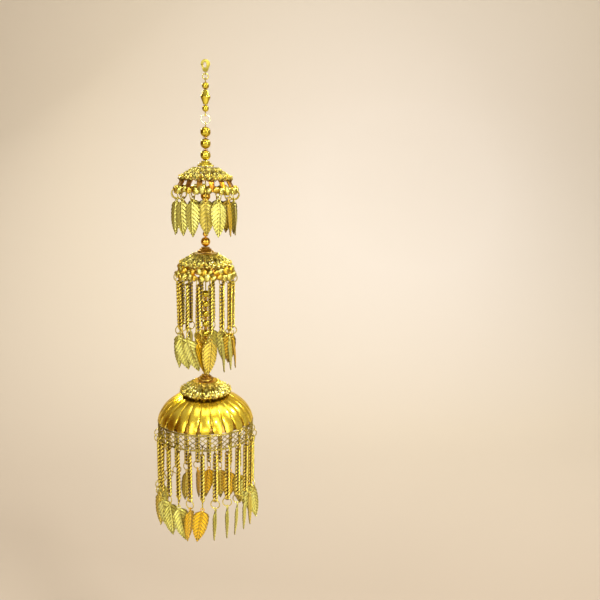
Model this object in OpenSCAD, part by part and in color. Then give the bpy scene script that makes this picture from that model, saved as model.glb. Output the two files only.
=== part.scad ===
/* [Wire] */
// Radius of the wire of jump rings and eyes
wire_r = 0.25; // [0.2:0.01:0.28]
// Radius of the straight wire that the beads sit on
pin_r = 0.3; // [0.25:0.01:0.35]
// Radius of an eye, to the middle of its wire
eye_mid_r = 0.75; // [0.7:0.01:0.9]
// Radius of a jump ring, to the middle of its wire
ring_mid_r = 2.2; // [2:0.05:2.4]
// Radius of a jump ring of the first tier, to the middle of its wire
upper_ring_mid_r = 2.5; // [2.2:0.05:2.7]
// Gap between neighbouring pieces
play = 0.1; // [0.06:0.01:0.12]

/* [Clasp] */
// Width of the clasp
clasp_w = 4.4; // [4.2:0.1:4.8]
// Thickness of the clasp, front to back
clasp_t = 2; // [1.8:0.1:2.4]
// Metal over the opening of the hook
hook_top = 1.2; // [1:0.1:1.4]
// Width of the opening of the hook
opening_w = 1.3; // [1.1:0.05:1.4]
// Height of the opening of the hook
opening_h = 2.5; // [2.3:0.1:2.7]
// Metal under the opening of the hook
clasp_foot = 1.9; // [1.8:0.1:2.2]
// Thickness of the lever
lever_t = 0.9; // [0.8:0.05:1]
// Radius of the lever's hub
hub_r = 0.7; // [0.65:0.01:0.75]
// Radius of the lever's pin
lever_pin_r = 0.3; // [0.25:0.01:0.35]
// Radial clearance of the lever on its pin
lever_fit = 0.05; // [0.04:0.01:0.08]
// Radius of the ring under the clasp, to the middle of its wire
clasp_ring_mid_r = 1.3; // [1.25:0.05:1.5]

/* [Top string] */
// Radius of the upper round bead
top_bead_r = 1.65; // [1.5:0.05:1.8]
// Largest radius of the double cone
bicone_r = 2.3; // [2:0.1:2.6]
// Radius of the double cone at its ends
bicone_end_r = 1.05; // [0.9:0.05:1.2]
// Length of the double cone
bicone_l = 6.7; // [6:0.1:7.5]
// Radius of the lower round bead
lower_bead_r = 1.6; // [1.5:0.05:1.8]
// Radius of the ring that carries the upper drop, to the middle of its wire
link_ring_mid_r = 2.1; // [1.9:0.05:2.3]

/* [Neck] */
// Radius of a neck bead
neck_bead_r = 2.45; // [2.2:0.05:2.6]
// Radius of the disc between two neck beads
spacer_r = 1.15; // [1:0.05:1.3]
// Thickness of that disc
spacer_t = 0.25; // [0.2:0.05:0.4]

/* [Umbrella] */
// Radius of the cap's rim
cap_r = 13.05; // [12.6:0.05:13.4]
// Height of the cap, from its crown to its rim
cap_h = 5; // [4.6:0.1:5.4]
// Wall of the cap, measured upright
cap_wall = 0.65; // [0.5:0.05:0.8]
// Radius of the small bell at its foot
finial_r = 3.6; // [3.2:0.1:3.8]
// Radius of the small bell at its top
finial_top_r = 1.8; // [1.5:0.1:2]
// Height of the small bell
finial_h = 2.8; // [2.5:0.1:3.1]
// Radius of the skirt's wire in the first tier
upper_skirt_r = 13.9; // [13.5:0.1:14.3]
// Radius of the skirt's wire in the second tier
middle_skirt_r = 13.2; // [12.9:0.1:13.9]
// Radius of the skirt's upper edge
skirt_top_r = 10.4; // [10:0.1:10.8]
// Drop from the cap's crown to the skirt's wire
skirt_drop = 10.9; // [10.4:0.1:11.4]
// Radius of the skirt's own wire
skirt_wire_r = 0.45; // [0.4:0.01:0.5]
// Radius of the collar that holds a cap up
collar_r = 1.2; // [1:0.1:1.4]
// Thickness of that collar
collar_t = 0.6; // [0.4:0.1:0.8]

/* [Leaf] */
// Length of a leaf's blade
leaf_l = 15.9; // [15:0.1:16.5]
// Width of a leaf's blade
leaf_w = 7.8; // [7.2:0.1:8]
// Thickness of a leaf
leaf_t = 0.45; // [0.4:0.05:0.5]
// How far a leaf's edges lie behind its midrib
leaf_fold = 1; // [0.8:0.1:1.2]
// How far a leaf's midrib bows outwards
leaf_bow = 0.6; // [0.4:0.1:0.8]
// Outer radius of a leaf's eyelet
leaf_eye_r = 1.05; // [1:0.05:1.15]
// Radius of the hole in a leaf's eyelet
leaf_hole_r = 0.6; // [0.55:0.01:0.65]

/* [First tier] */
// Number of rings and leaves on a small umbrella
tier_count = 14; // [10:1:14]
// Height from the first umbrella's top down to its large inner bead
inner_bead_drop = 16.6; // [16:0.1:17.2]
// Radius of the large inner bead
inner_bead_r = 2.35; // [2.2:0.05:2.5]
// Radius of the small inner bead
inner_small_r = 1.2; // [1.1:0.05:1.3]

/* [Second tier] */
// Distance between the tops of the first and the second umbrella
upper_to_middle = 41; // [40:0.5:44]
// Radius of the bead on the second umbrella
middle_bead_r = 2.3; // [2.1:0.1:2.5]
// Radius of the small bead on top of it
middle_small_r = 1.4; // [1.2:0.1:1.5]
// Length of a chain of the second tier
middle_chain_l = 21.3; // [20:0.1:22.5]
// Width of a chain
chain_w = 3; // [2.6:0.1:3.2]
// Radius of the ring between chain and leaf in the second tier, to the middle of its wire
middle_low_mid_r = 2.1; // [2:0.05:2.3]
// Number of beads inside the second tier
core_count = 5; // [3:1:5]
// Radius of those beads
core_bead_r = 1.85; // [1.7:0.05:2]
// Length of the small sleeve under each of those beads
core_sleeve_l = 1.1; // [0.9:0.1:1.2]
// Radius of that sleeve
core_sleeve_r = 0.9; // [0.8:0.1:1.1]
// Height from the second umbrella's top down to the first of those beads
core_drop = 23.4; // [22.5:0.1:24]

/* [Dome] */
// Distance between the tops of the second and the third umbrella
middle_to_dome = 64.4; // [63.5:0.1:67]
// Radius of the dome at its rim
dome_r = 24.1; // [23.5:0.1:24.7]
// Height that the dome would have as a full half ball
dome_h = 16.5; // [15.5:0.1:17.5]
// Turn of the dome's wall from its crest to its rim, in degrees; 90 is a full half ball
dome_turn = 84; // [80:1:90]
// Wall of the dome
dome_wall = 0.7; // [0.6:0.05:0.8]
// Gap from the third cap's crown down to the dome's top
dome_gap = 5.3; // [5:0.1:6]
// Number of flutes round the dome
flute_count = 24; // [20:1:26]
// Depth of a flute's groove at the rim
flute_depth = 1.1; // [0.8:0.1:1.3]
// Radius of the bead that holds the dome from below
stop_bead_r = 1.6; // [1.4:0.1:1.8]
// Height of the net band
net_h = 8.4; // [8:0.1:8.8]
// Thickness of the net band
net_t = 0.6; // [0.5:0.05:0.7]
// Width of the strips of the net
net_strip = 0.75; // [0.65:0.05:0.85]
// Radius of the round wires that edge the net
net_wire_r = 0.45; // [0.4:0.01:0.5]
// Number of chains round the dome
fringe_count = 24; // [20:2:24]
// Length of a chain of the dome's fringe
fringe_chain_l = 22.8; // [21:0.1:24]

/* [Hidden] */
wire_gold = [0.85, 0.68, 0.2];
bead_gold = [0.9, 0.72, 0.22];
leaf_gold = [0.93, 0.8, 0.35];
chain_gold = [0.8, 0.62, 0.18];
eye_out_r = eye_mid_r + wire_r;
bore_r = pin_r + play;
ring_sides = 24;
wire_sides = 16;
round_sides = 48;

// Height of the ring that hangs in another one, from the heights of their middles
function hang(carrier_z, carrier_r, ring_r) =
    carrier_z - carrier_r + 2 * wire_r + play - ring_r;

// Clasp: the hook bears at the origin, on the inside of its top
opening_x = -0.25;
clasp_bottom = -opening_h - clasp_foot;
clasp_bottom_r = clasp_w / 3;
lever_x = -0.75;
lever_z = -opening_h - 0.75;
lever_reach = opening_h - 0.2;
clasp_eye_z = clasp_bottom - eye_mid_r + wire_r;

// Heights down the top string
clasp_ring_z = hang(clasp_eye_z, eye_mid_r, clasp_ring_mid_r);
top_eye_z = hang(clasp_ring_z, clasp_ring_mid_r, eye_mid_r);
top_bead_z = top_eye_z - eye_out_r - play - top_bead_r;
bicone_z = top_bead_z - top_bead_r - play - bicone_l / 2;
lower_bead_z = bicone_z - bicone_l / 2 - play - lower_bead_r;
top_foot_eye_z = lower_bead_z - lower_bead_r - play - eye_out_r;
link_ring_z = hang(top_foot_eye_z, eye_mid_r, link_ring_mid_r);

// Heights down the neck
upper_eye_z = hang(link_ring_z, link_ring_mid_r, eye_mid_r);
neck_count = 3;
neck_pitch = 2 * neck_bead_r + spacer_t + 2 * play;
neck_top_z = upper_eye_z - eye_out_r - play - neck_bead_r;
function neck_z(i) = neck_top_z - (i - 1) * neck_pitch;

// Umbrella tops, and heights measured down from them
upper_top_z = neck_z(neck_count) - neck_bead_r - play;
middle_top_z = upper_top_z - upper_to_middle;
dome_top_z = middle_top_z - middle_to_dome;
crown_drop = finial_h + play;
skirt_wire_drop = crown_drop + skirt_drop;
ring_drop = skirt_wire_drop - skirt_wire_r - wire_r - play + ring_mid_r;
ring_foot_drop = ring_drop + ring_mid_r;
upper_ring_drop = skirt_wire_drop - skirt_wire_r - wire_r - play + upper_ring_mid_r;
eyelet_sit = leaf_hole_r - wire_r - play;

// First tier
upper_ring_z = upper_top_z - upper_ring_drop;
inner_bead_z = upper_top_z - inner_bead_drop;
inner_small_z = inner_bead_z - inner_bead_r - play - inner_small_r;
upper_foot_eye_z = inner_small_z - inner_small_r - play - eye_out_r;

// Second tier
middle_eye_z = hang(upper_foot_eye_z, eye_mid_r, eye_mid_r);
middle_bead_z = middle_top_z + play + middle_bead_r;
middle_small_z = middle_bead_z + middle_bead_r + play + middle_small_r;
middle_chain_z = middle_top_z - ring_foot_drop - wire_r - play;
middle_low_z = middle_chain_z - middle_chain_l - play - wire_r - middle_low_mid_r;
core_pitch = 2 * core_bead_r + core_sleeve_l + 2 * play;
function core_z(i) = middle_top_z - core_drop - (i - 1) * core_pitch;
function sleeve_z(i) = core_z(i) - core_bead_r - play - core_sleeve_l;
middle_foot_eye_z = sleeve_z(core_count) - play - eye_out_r;

// Dome and its fringe
dome_eye_z = hang(middle_foot_eye_z, eye_mid_r, eye_mid_r);
dome_crest_z = dome_top_z - crown_drop - dome_gap;
dome_middle_z = dome_crest_z - dome_h;
dome_base_z = dome_middle_z + dome_h * cos(dome_turn);
stop_bead_z = dome_crest_z - dome_wall - play - stop_bead_r;
dome_foot_eye_z = stop_bead_z - stop_bead_r - play - eye_out_r;
net_r = dome_r - dome_wall / 2 - 0.05;
net_top_z = dome_base_z - 2 * play;
net_foot_z = net_top_z - net_h;
net_count = 2 * fringe_count;
net_mid_z = (net_top_z + net_foot_z) / 2;
net_hole_w = 360 / net_count * PI / 180 * net_r - net_strip;
net_hole_h = net_h - 2 * net_wire_r - 2 * net_strip - 0.8;
net_seat = (wire_r + play) * sqrt(1 + pow(net_hole_h / net_hole_w, 2));
fringe_ring_z = net_mid_z - net_hole_h / 2 + net_seat - ring_mid_r;
fringe_chain_z = fringe_ring_z - ring_mid_r - wire_r - play;
fringe_low_z = fringe_chain_z - fringe_chain_l - play - wire_r - ring_mid_r;

// Turn round the axis of the first ring, leaf or chain of each tier, from the front
upper_phase = 0;
middle_phase = 10;
fringe_phase = -4;

// How each leaf hangs: turn from facing outwards, lean of its tip inwards, lean of its tip
// to the right as seen from outside, in degrees
upper_hang = [
    [4, 16, 2], [-5, -2, -2], [22, -1, 1], [15, 0, 2], [12, 1, 2], [14, 3, 3], [12, 1, -3],
    [15, 4, 2], [12, 0, -4], [14, 3, 3], [12, 1, 1], [27, -1, -1], [19, 4, -1], [-2, 1, 1]];
middle_hang = [
    [11, -1, -5], [48, 1, 4], [15, 0, 2], [-1, -4, -7], [35, 2, 5], [20, 3, -4], [50, 4, 3],
    [15, 2, -3], [40, 3, 2], [25, 4, -5], [45, 2, 4], [77, 12, 5], [31, 13, 14], [74, 3, 9]];
fringe_hang = [
    [2, 0, -9], [66, 1, -3], [52, 0, -2], [38, 2, -6], [19, 3, -2], [2, 0, -3], [-38, -8, 2], [53, 2, -3],
    [25, 3, 3], [60, 1, -5], [20, 4, 4], [45, 2, -3], [30, 3, 5], [65, 1, -4], [25, 2, 3], [50, 4, -5],
    [30, 1, 4], [60, 3, -3], [28, 2, 5], [30, 2, 3], [44, 10, 10], [80, 4, 3], [39, 1, 13], [72, -2, -5]];

// Outline of the cap's upper face: share of its radius, share of its height
cap_profile = [[0.275, 0], [0.385, -0.12], [0.475, -0.06], [0.58, 0.26], [0.77, 0.54], [1, 1]];

// Outline of a leaf: share of its length, share of its half width
leaf_profile = [
    [0, 0.2], [0.07, 0.62], [0.2, 0.9], [0.36, 1], [0.55, 0.88], [0.72, 0.62], [0.87, 0.32], [1, 0.05]];

// A ring of round wire round the Z axis
module wire_ring(mid_r, r) {
    rotate_extrude($fn = ring_sides)
        translate([mid_r, 0])
            circle(r = r, $fn = wire_sides);
}

// A ring of wire that stands upright, its hole facing the front, turned about Z
module hanging_ring(mid_r, z, turn) {
    translate([0, 0, z])
        rotate([90, 0, turn])
            wire_ring(mid_r, wire_r);
}

// Children set out round the axis, the first at a turn from the front, at a radius
module around(count, phase, radius) {
    for (k = [0 : count - 1])
        rotate([0, 0, phase + k * 360 / count])
            translate([0, -radius, 0])
                children();
}

// A drilled round bead
module bead(r, z) {
    translate([0, 0, z])
        difference() {
            sphere(r = r, $fn = round_sides);
            cylinder(r = bore_r, h = 2 * r + 1, center = true, $fn = ring_sides);
        }
}

// A drilled disc or sleeve that stands on a height
module sleeve(r, length, z) {
    translate([0, 0, z])
        difference() {
            cylinder(r = r, h = length, $fn = round_sides);
            translate([0, 0, -1])
                cylinder(r = bore_r, h = length + 2, $fn = ring_sides);
        }
}

// Straight wire with an eye at both ends
module eye_pin(top_z, foot_z, top_turn, foot_turn) {
    hanging_ring(eye_mid_r, top_z, top_turn);
    hanging_ring(eye_mid_r, foot_z, foot_turn);
    translate([0, 0, foot_z + eye_mid_r])
        cylinder(r = pin_r, h = top_z - foot_z - 2 * eye_mid_r, $fn = ring_sides);
}

// Collar on a pin, right under a cap's crown
module collar(top_z) {
    translate([0, 0, top_z - crown_drop - cap_wall - play - collar_t])
        cylinder(r = collar_r, h = collar_t, $fn = round_sides);
}

// Solid skinned over rings of points that are listed from the top down, each seen
// anticlockwise from above; a looped one joins its last ring to its first
module skin(rings, looped = false) {
    n = len(rings);
    m = len(rings[0]);
    last = looped ? n - 1 : n - 2;
    sides = [for (i = [0 : last], j = [0 : m - 1])
        let (a = i * m, b = (i + 1) % n * m, k = (j + 1) % m)
            each [[a + j, a + k, b + k], [a + j, b + k, b + j]]];
    ends = looped ? [] : [[for (j = [m - 1 : -1 : 0]) j], [for (j = [0 : m - 1]) (n - 1) * m + j]];
    polyhedron(points = [for (ring = rings) each ring], faces = concat(sides, ends));
}

// Upper face of a cap as points, its crown's height being 0
function cap_points() = [for (row = cap_profile) [row[0] * cap_r, -row[1] * cap_h]];

// Height of a cap's upper face at a radius on its last stretches
function cap_height(r) = lookup(r, cap_points());

// Pierced umbrella cap with a scalloped rim
module cap(top_z) {
    crown = [bore_r, 0];
    face = concat([crown], cap_points());
    under = [for (i = [len(face) - 1 : -1 : 0]) [face[i][0], face[i][1] - cap_wall]];
    translate([0, 0, top_z - crown_drop])
        difference() {
            rotate_extrude($fn = round_sides * 2)
                polygon(concat(face, under));
            around(tier_count, 180 / tier_count, 0.7 * cap_r)
                cylinder(r = 0.075 * cap_r, h = 4 * cap_h, center = true, $fn = ring_sides);
            around(2 * tier_count, 0, 1.035 * cap_r)
                cylinder(r = 0.065 * cap_r, h = 4 * cap_h, center = true, $fn = ring_sides);
        }
}

// Small bell that sits in the crown of a cap
module finial(top_z) {
    waist_r = 0.55 * finial_top_r + 0.45 * finial_r;
    translate([0, 0, top_z])
        rotate_extrude($fn = round_sides)
            polygon([
                [bore_r, 0], [0.8 * finial_top_r, 0], [finial_top_r, -0.12 * finial_h],
                [finial_top_r, -0.25 * finial_h], [waist_r, -0.55 * finial_h],
                [finial_r, -0.8 * finial_h], [0.97 * finial_r, -finial_h], [bore_r, -finial_h]]);
}

// Points along a bent edge of wire in an outline, from one angle to another
function arc(x, z, r, from, to) =
    [for (i = [0 : 14]) let (a = from + (to - from) * i / 14) [x + r * cos(a), z + r * sin(a)]];

// Slanted open skirt under a cap, with a wire along its foot
module skirt(top_z, foot_r, phase) {
    foot = -skirt_drop;
    bar_t = 2.5 * wire_r;
    top = cap_height(skirt_top_r + bar_t) - cap_wall - 2 * play;
    slot_w = 0.68 * 2 * PI * foot_r / tier_count;
    slot_top = top + 0.18 * (foot - top);
    slot_foot = foot + 1.25 * skirt_wire_r;
    first = 90 + 180 / tier_count;
    translate([0, 0, top_z - crown_drop])
        rotate([0, 0, phase - first])
            difference() {
                rotate_extrude($fn = round_sides * 2)
                    polygon(concat(
                        [[skirt_top_r, top], [skirt_top_r + bar_t, top]],
                        arc(foot_r, foot, skirt_wire_r, 50, -230)));
                around(tier_count, first, 0.7 * foot_r)
                    rotate([90, 0, 0])
                        linear_extrude(0.4 * foot_r)
                            polygon([
                                [0.25 * slot_w, slot_top], [-0.25 * slot_w, slot_top],
                                [-0.5 * slot_w, slot_foot], [0.5 * slot_w, slot_foot]]);
            }
}

// Leaf charm: a folded, bowed blade that hangs from a flat eyelet at the origin
module leaf() {
    blade_top = -leaf_eye_r + 0.2;
    reach = leaf_l + 0.2;
    half = leaf_w / 2;
    edge_t = 0.7 * leaf_t;
    difference() {
        rotate([90, 0, 0])
            cylinder(r = leaf_eye_r, h = leaf_t, center = true, $fn = ring_sides);
        rotate([90, 0, 0])
            cylinder(r = leaf_hole_r, h = 2 * leaf_t, center = true, $fn = ring_sides);
    }
    skin([for (row = leaf_profile)
        let (
            z = blade_top - row[0] * reach,
            w = row[1] * half,
            mid = -leaf_t / 2 - leaf_bow * sin(180 * row[0]),
            edge = mid + leaf_fold * row[1] * row[1])
                [[-w, edge, z], [0, mid, z], [w, edge, z],
                    [w, edge + edge_t, z], [0, mid + leaf_t, z], [-w, edge + edge_t, z]]]);
}

// Leaves round the axis, each hung as its row says
module leaf_tier(count, phase, radius, z, rows) {
    for (k = [0 : count - 1])
        rotate([0, 0, phase + k * 360 / count])
            translate([0, -radius, z - eyelet_sit])
                rotate([rows[k][1], -rows[k][2], 0])
                    rotate([0, 0, rows[k][0]])
                        leaf();
}

// Jump rings round the axis, each turned with the leaf that it carries
module ring_tier(count, phase, radius, z, mid_r, rows) {
    for (k = [0 : count - 1])
        rotate([0, 0, phase + k * 360 / count])
            translate([0, -radius, 0])
                hanging_ring(mid_r, z, 90 + rows[k][0]);
}

// Jump rings round the axis, all square to it
module square_ring_tier(count, phase, radius, z, mid_r) {
    around(count, phase, radius)
        hanging_ring(mid_r, z, 90);
}

// Eight-sided tubes that stand for chains
module chain_tier(count, phase, radius, top_z, length) {
    steps = ceil(length / (2.5 * chain_w));
    around(count, phase, radius)
        skin([for (i = [0 : steps])
            [for (a = [22.5 : 45 : 337.5])
                [chain_w / 2 * cos(a), chain_w / 2 * sin(a), top_z - length * i / steps]]]);
}

module clasp_outline() {
    top_r = clasp_w / 2;
    polygon(concat(
        [for (a = [0 : 12 : 180]) [top_r * cos(a), hook_top - top_r + top_r * sin(a)]],
        [for (a = [180 : 12 : 360])
            [clasp_bottom_r * cos(a), clasp_bottom + clasp_bottom_r + clasp_bottom_r * sin(a)]]));
}

module clasp_opening() {
    r = opening_w / 2;
    translate([opening_x, -r])
        circle(r = r, $fn = round_sides);
    translate([opening_x, r - opening_h])
        circle(r = r, $fn = round_sides);
    translate([opening_x - r, r - opening_h])
        square([opening_w, opening_h - 2 * r]);
}

// Upright plate cut from an outline, centred front to back
module plate(thickness) {
    rotate([90, 0, 0])
        translate([0, 0, -thickness / 2])
            linear_extrude(thickness)
                children();
}

module lever_outline(grow) {
    arm_right = opening_x - opening_w / 2 + grow;
    intersection() {
        clasp_outline();
        translate([lever_x, lever_z])
            circle(r = lever_reach + grow / 2, $fn = round_sides);
        translate([-clasp_w, lever_z])
            square([clasp_w + arm_right, clasp_w]);
    }
    translate([lever_x, lever_z])
        circle(r = hub_r + grow, $fn = round_sides);
}

module clasp_body() {
    slot_t = lever_t + 2 * play;
    arm_z = lever_z + hub_r;
    color(wire_gold) {
        difference() {
            plate(clasp_t)
                difference() {
                    clasp_outline();
                    clasp_opening();
                }
            plate(slot_t) {
                lever_outline(play);
                translate([lever_x - hub_r, lever_z])
                    square([2 * hub_r + play, hub_r + opening_w]);
                translate([-clasp_w, lever_z])
                    square([clasp_w + lever_x, hub_r + play]);
            }
            intersection() {
                plate(2 * clasp_t)
                    lever_outline(play);
                translate([-2 * clasp_w, -clasp_w, arm_z])
                    cube([2 * clasp_w + lever_x + hub_r, 2 * clasp_w, clasp_w]);
            }
        }
        translate([lever_x, 0, lever_z])
            rotate([90, 0, 0])
                cylinder(r = lever_pin_r, h = clasp_t, center = true, $fn = ring_sides);
        hanging_ring(eye_mid_r, clasp_eye_z, 90);
    }
}

module clasp_lever() {
    color(wire_gold)
        difference() {
            plate(lever_t)
                lever_outline(0);
            translate([lever_x, 0, lever_z])
                rotate([90, 0, 0])
                    cylinder(r = lever_pin_r + lever_fit, h = clasp_t, center = true, $fn = ring_sides);
        }
}

module clasp_ring() {
    color(wire_gold)
        hanging_ring(clasp_ring_mid_r, clasp_ring_z, 0);
}

module top_eye_pin() {
    color(wire_gold)
        eye_pin(top_eye_z, top_foot_eye_z, 90, 90);
}

module top_bead() {
    color(bead_gold)
        bead(top_bead_r, top_bead_z);
}

module top_bicone_bead() {
    half = bicone_l / 2;
    color(bead_gold)
        translate([0, 0, bicone_z])
            rotate_extrude($fn = round_sides)
                polygon([
                    [bore_r, half], [bicone_end_r, half], [bicone_r, 0], [bicone_end_r, -half], [bore_r, -half]]);
}

module top_lower_bead() {
    color(bead_gold)
        bead(lower_bead_r, lower_bead_z);
}

module link_ring() {
    color(leaf_gold)
        hanging_ring(link_ring_mid_r, link_ring_z, 0);
}

module upper_eye_pin() {
    color(wire_gold) {
        eye_pin(upper_eye_z, upper_foot_eye_z, 90, 0);
        collar(upper_top_z);
    }
}

module neck_bead(i) {
    color(bead_gold)
        bead(neck_bead_r, neck_z(i));
}

module neck_spacers() {
    color(wire_gold)
        for (i = [1 : neck_count - 1])
            sleeve(spacer_r, spacer_t, neck_z(i) - neck_bead_r - play - spacer_t);
}

module upper_finial() {
    color(wire_gold)
        finial(upper_top_z);
}

module upper_cap() {
    color(wire_gold)
        cap(upper_top_z);
}

module upper_skirt() {
    color(wire_gold)
        skirt(upper_top_z, upper_skirt_r, upper_phase);
}

module upper_inner_bead() {
    color(bead_gold)
        bead(inner_bead_r, inner_bead_z);
}

module upper_inner_small_bead() {
    color(bead_gold)
        bead(inner_small_r, inner_small_z);
}

module upper_rings() {
    color(wire_gold)
        square_ring_tier(tier_count, upper_phase, upper_skirt_r, upper_ring_z, upper_ring_mid_r);
}

module upper_leaves() {
    color(leaf_gold)
        leaf_tier(tier_count, upper_phase, upper_skirt_r, upper_ring_z - upper_ring_mid_r, upper_hang);
}

module middle_eye_pin() {
    color(wire_gold) {
        eye_pin(middle_eye_z, middle_foot_eye_z, 90, 0);
        collar(middle_top_z);
    }
}

module middle_small_bead() {
    color(bead_gold)
        bead(middle_small_r, middle_small_z);
}

module middle_bead() {
    color(bead_gold)
        bead(middle_bead_r, middle_bead_z);
}

module middle_finial() {
    color(wire_gold)
        finial(middle_top_z);
}

module middle_cap() {
    color(wire_gold)
        cap(middle_top_z);
}

module middle_skirt() {
    color(wire_gold)
        skirt(middle_top_z, middle_skirt_r, middle_phase);
}

module middle_top_rings() {
    color(wire_gold)
        square_ring_tier(tier_count, middle_phase, middle_skirt_r, middle_top_z - ring_drop, ring_mid_r);
}

module middle_chains() {
    color(chain_gold)
        chain_tier(tier_count, middle_phase, middle_skirt_r, middle_chain_z, middle_chain_l);
}

module middle_low_rings() {
    color(wire_gold)
        ring_tier(tier_count, middle_phase, middle_skirt_r, middle_low_z, middle_low_mid_r, middle_hang);
}

module middle_leaves() {
    foot_z = middle_low_z - middle_low_mid_r;
    color(leaf_gold)
        leaf_tier(tier_count, middle_phase, middle_skirt_r, foot_z, middle_hang);
}

module core_bead(i) {
    color(bead_gold)
        bead(core_bead_r, core_z(i));
}

module core_sleeves() {
    color(wire_gold)
        for (i = [1 : core_count])
            sleeve(core_sleeve_r, core_sleeve_l, sleeve_z(i));
}

module dome_eye_pin() {
    color(wire_gold) {
        eye_pin(dome_eye_z, dome_foot_eye_z, 90, 0);
        collar(dome_top_z);
    }
}

module dome_finial() {
    color(wire_gold)
        finial(dome_top_z);
}

module dome_cap() {
    color(wire_gold)
        cap(dome_top_z);
}

// Fluted shell: each flute bulges between two sharp grooves that deepen to the rim
module dome() {
    steps = 9;
    columns = 4 * flute_count;
    groove_share = [1, 0.3, 0, 0.3];
    hole_turn = asin(2 * bore_r / dome_r);
    function turn(i) = hole_turn + (dome_turn - hole_turn) * i / steps;
    function ring(i, inward) = [for (j = [0 : columns - 1])
        let (
            t = turn(i),
            cut = flute_depth * groove_share[j % 4] * pow(sin(t), 2) + inward,
            a = fringe_phase - 94.4 + j * 360 / columns,
            r = dome_r * sin(t) - cut * sin(t) + (i == 0 ? inward * sin(t) : 0))
                [r * cos(a), r * sin(a), dome_h * cos(t) - cut * cos(t)]];
    color(bead_gold)
        translate([0, 0, dome_middle_z])
            skin(concat([for (i = [0 : steps]) ring(i, 0)], [for (i = [steps : -1 : 0]) ring(i, dome_wall)]), true);
}

// Band of net between two wires; a jump ring passes through every second hole
module dome_lattice() {
    half_w = net_hole_w / 2;
    half_h = net_hole_h / 2;
    first = 90 + 180 / net_count;
    color(wire_gold)
        rotate([0, 0, fringe_phase - first])
            difference() {
                rotate_extrude($fn = round_sides * 4)
                    polygon(concat(
                        arc(net_r, net_foot_z + net_wire_r, net_wire_r, 130, 410),
                        arc(net_r, net_top_z - net_wire_r, net_wire_r, -50, 230)));
                around(net_count, first, 0.9 * net_r)
                    translate([0, 0, net_mid_z])
                        rotate([90, 0, 0])
                            linear_extrude(0.2 * net_r)
                                polygon([[-half_w, 0], [0, -half_h], [half_w, 0], [0, half_h]]);
            }
}

module dome_stop_bead() {
    color(bead_gold)
        bead(stop_bead_r, stop_bead_z);
}

module dome_top_rings() {
    color(wire_gold)
        square_ring_tier(fringe_count, fringe_phase, net_r, fringe_ring_z, ring_mid_r);
}

module dome_chains() {
    color(chain_gold)
        chain_tier(fringe_count, fringe_phase, net_r, fringe_chain_z, fringe_chain_l);
}

module dome_low_rings() {
    color(wire_gold)
        ring_tier(fringe_count, fringe_phase, net_r, fringe_low_z, ring_mid_r, fringe_hang);
}

module dome_leaves() {
    color(leaf_gold)
        leaf_tier(fringe_count, fringe_phase, net_r, fringe_low_z - ring_mid_r, fringe_hang);
}

clasp_body();
clasp_lever();
clasp_ring();
top_eye_pin();
top_bead();
top_bicone_bead();
top_lower_bead();
link_ring();
upper_eye_pin();
for (i = [1 : neck_count])
    neck_bead(i);
neck_spacers();
upper_finial();
upper_cap();
upper_skirt();
upper_inner_bead();
upper_inner_small_bead();
upper_rings();
upper_leaves();
middle_eye_pin();
middle_small_bead();
middle_bead();
middle_finial();
middle_cap();
middle_skirt();
middle_top_rings();
middle_chains();
middle_low_rings();
middle_leaves();
for (i = [1 : core_count])
    core_bead(i);
core_sleeves();
dome_eye_pin();
dome_finial();
dome_cap();
dome();
dome_lattice();
dome_stop_bead();
dome_top_rings();
dome_chains();
dome_low_rings();
dome_leaves();
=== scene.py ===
import math

import bmesh
import bpy
from mathutils import Matrix, Vector, noise


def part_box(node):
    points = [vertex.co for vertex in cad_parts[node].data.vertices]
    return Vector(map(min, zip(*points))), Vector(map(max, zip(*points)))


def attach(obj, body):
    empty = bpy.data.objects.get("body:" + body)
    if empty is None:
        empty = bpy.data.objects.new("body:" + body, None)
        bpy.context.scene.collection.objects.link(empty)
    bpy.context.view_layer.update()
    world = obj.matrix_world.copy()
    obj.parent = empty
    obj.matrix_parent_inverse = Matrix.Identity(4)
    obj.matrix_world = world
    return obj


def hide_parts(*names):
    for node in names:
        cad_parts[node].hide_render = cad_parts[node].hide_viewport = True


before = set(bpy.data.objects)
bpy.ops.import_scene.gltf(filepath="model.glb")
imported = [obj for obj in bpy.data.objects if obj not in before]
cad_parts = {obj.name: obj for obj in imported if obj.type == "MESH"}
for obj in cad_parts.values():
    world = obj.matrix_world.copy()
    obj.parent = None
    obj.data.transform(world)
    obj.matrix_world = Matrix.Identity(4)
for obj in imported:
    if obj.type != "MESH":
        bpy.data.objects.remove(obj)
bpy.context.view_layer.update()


# Clasp
# The lobster clasp that hooks the ornament on a bangle. Its body and its sprung lever are cast
# in brass, plated gold colour and tumbled until every edge is round; a pin through both cheeks
# holds the lever.

MM = 0.001
same_corner = 1e-6
body_edge_r, lever_edge_r = 0.22, 0.14
edge_glint = (1.0, 0.84, 0.3, 1)
orange_wash = (1.0, 0.56, 0.008, 1)
# Dark brown of the painted shade in hollows and crossings, also used for the grain's specks.
brown_shade_paint = (0.16, 0.06, 0.006)
tone_patch, deep_below, bright_above = 3.2, 0.32, 0.68
speck_from, speck_full = 0.46, 0.62
coat, coat_roughness = 0.4, 0.08
smoothest, roughest = 0.6, 1.5


def set_stops(ramp, *stops):
    """Sets a colour ramp's stops, each a place and a colour. The first two are there already."""
    for i, (place, colour) in enumerate(stops):
        stop = ramp.elements[i] if i < 2 else ramp.elements.new(place)
        stop.position = place
        stop.color = (*colour, 1)


def ranged(tree, value, low, high, out_low=0.0, out_high=1.0, easing="LINEAR"):
    """A value taken from one range to another, and kept inside it."""
    node = tree.nodes.new("ShaderNodeMapRange")
    node.inputs["From Min"].default_value = low
    node.inputs["From Max"].default_value = high
    node.inputs["To Min"].default_value = out_low
    node.inputs["To Max"].default_value = out_high
    node.interpolation_type = easing
    tree.links.new(value, node.inputs["Value"])
    return node.outputs["Result"]


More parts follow.
